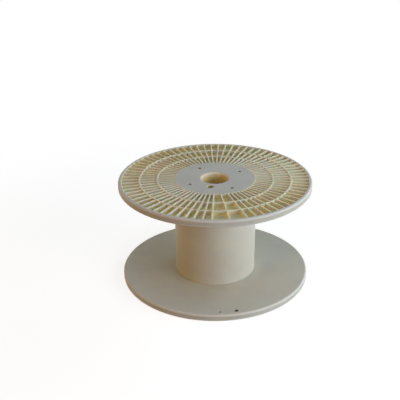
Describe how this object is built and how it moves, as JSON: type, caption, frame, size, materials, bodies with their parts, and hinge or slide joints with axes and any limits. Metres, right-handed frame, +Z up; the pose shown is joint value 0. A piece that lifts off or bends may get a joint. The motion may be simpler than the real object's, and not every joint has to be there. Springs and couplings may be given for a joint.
{
  "type": "cable reel",
  "caption": "Empty plastic cable reel: flat round flanges with radial and ring ribs on their outer faces, joined by a plain hollow barrel, with a shaft bore, drive-pin holes and wire holes.",
  "frame": {"origin": "centre of the lower flange's outer face, which the reel stands on", "axes": "+Z up along the reel's axis; the drive-pin holes lie towards -Y"},
  "size_m": [0.4, 0.4, 0.222],
  "materials": {
    "flange_plastic": "satin moulded plastic, ivory",
    "barrel_plastic": "satin extruded plastic, warm ivory"
  },
  "bodies": {
    "root": {"lower_flange": "flange_plastic", "barrel": "barrel_plastic", "upper_flange": "flange_plastic"}
  },
  "joints": []
}
